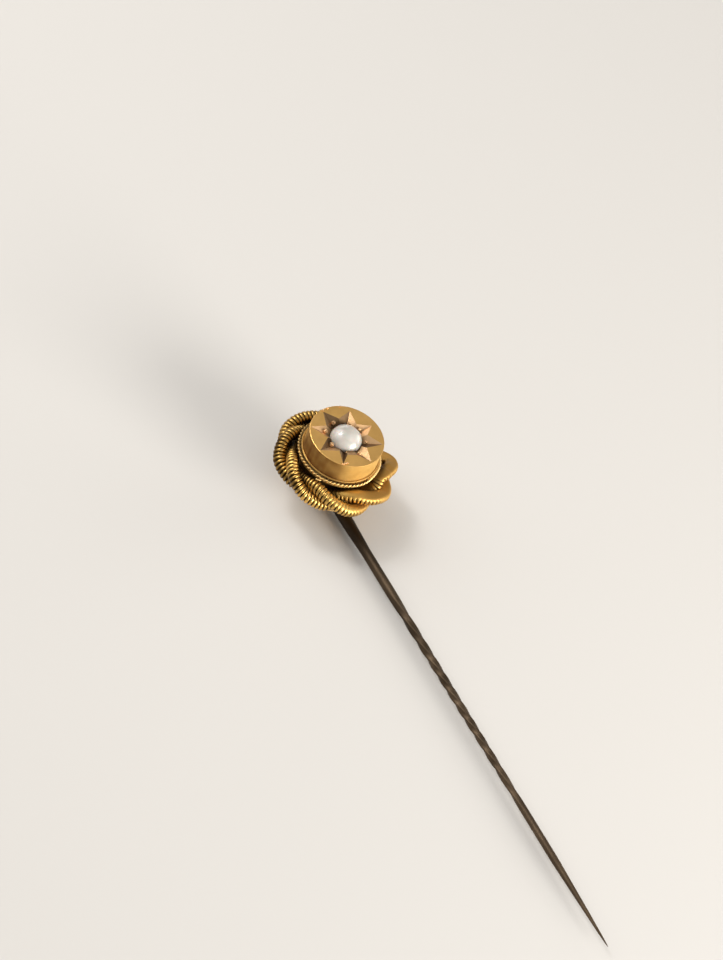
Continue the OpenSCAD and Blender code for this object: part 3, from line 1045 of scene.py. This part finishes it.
def floor():
    """A pale matte ground, just below the lowest point of the pin."""
    half = 1.5
    z = cad_low.z - 0.02 * MM
    corners = [(-half, -half, z), (half, -half, z), (half, half, z), (-half, half, z)]
    mesh = bpy.data.meshes.new("floor")
    mesh.from_pydata(corners, [], [(0, 1, 2, 3)])
    ground = bpy.data.objects.new("floor", mesh)
    bpy.context.scene.collection.objects.link(ground)
    material, nodes, links = new_material("floor")
    nodes["Principled BSDF"].inputs["Base Color"].default_value = (0.63, 0.61, 0.585, 1)
    nodes["Principled BSDF"].inputs["Roughness"].default_value = 0.9
    mesh.materials.append(material)


def in_camera(right, up, back):
    """A direction given along the camera's axes, in the part's frame."""
    return (CAMERA_RIGHT * right + CAMERA_UP * up + CAMERA_BACK * back).normalized()


def softbox(name, towards, distance, size, radiance, colour=(1, 1, 1)):
    """An area light that looks at the head from a distance in the direction towards."""
    light = bpy.data.lights.new(name, "AREA")
    light.shape = "RECTANGLE"
    light.size, light.size_y = size
    light.energy = radiance * math.pi * size[0] * size[1]
    light.color = colour
    lamp = bpy.data.objects.new(name, light)
    bpy.context.scene.collection.objects.link(lamp)
    lamp.location = ROPE_CENTRE + towards * distance
    lamp.rotation_mode = "QUATERNION"
    lamp.rotation_quaternion = (-towards).to_track_quat("-Z", "Y")


def world(horizon, overhead, colour):
    """A plain studio sky, with its strength at the horizon and overhead."""
    sky = bpy.data.worlds.new("studio")
    sky.use_nodes = True
    nodes, links = sky.node_tree.nodes, sky.node_tree.links
    background = nodes["Background"]
    background.inputs["Color"].default_value = (*colour, 1)
    place = nodes.new("ShaderNodeTexCoord")
    split = nodes.new("ShaderNodeSeparateXYZ")
    links.new(place.outputs["Generated"], split.inputs["Vector"])
    grade = nodes.new("ShaderNodeMapRange")
    grade.inputs["From Min"].default_value = 0.15
    grade.inputs["From Max"].default_value = 0.75
    grade.inputs["To Min"].default_value = horizon
    grade.inputs["To Max"].default_value = overhead
    links.new(split.outputs["Z"], grade.inputs["Value"])
    links.new(grade.outputs["Result"], background.inputs["Strength"])
    bpy.context.scene.world = sky


def camera():
    """A long lens, far off, as the scene's camera."""
    data = bpy.data.cameras.new("camera")
    data.sensor_width = 36
    data.lens = CAMERA_LENS
    data.clip_start, data.clip_end = 0.01, 10
    view = bpy.data.objects.new("camera", data)
    bpy.context.scene.collection.objects.link(view)
    turn = Matrix((CAMERA_RIGHT, CAMERA_UP, CAMERA_BACK)).transposed()
    place = Matrix.Translation(CAMERA_AIM + CAMERA_BACK * CAMERA_DISTANCE)
    view.matrix_world = place @ turn.to_4x4()
    bpy.context.scene.camera = view


bpy.context.scene.view_settings.view_transform = "Standard"
floor()
world(horizon=0.10, overhead=0.48, colour=(1.0, 0.98, 0.95))
WARM = (1.0, 0.97, 0.92)
softbox("key", in_camera(-0.45, 0.80, 0.40), 0.35, (0.40, 0.32), 1.9, WARM)
softbox("window", Vector((0.36, -0.90, 0.27)).normalized(), 0.30, (0.17, 0.13), 18, WARM)
softbox("side", Vector((0.95, -0.15, 0.22)).normalized(), 0.30, (0.20, 0.12), 2.8, WARM)
softbox("lamp", in_camera(-0.27, 0.80, 0.45), 0.30, (0.06, 0.06), 22)
softbox("rear", Vector((0.43, 0.88, 0.14)).normalized(), 0.30, (0.14, 0.06), 2, (1.0, 0.96, 0.92))
camera()
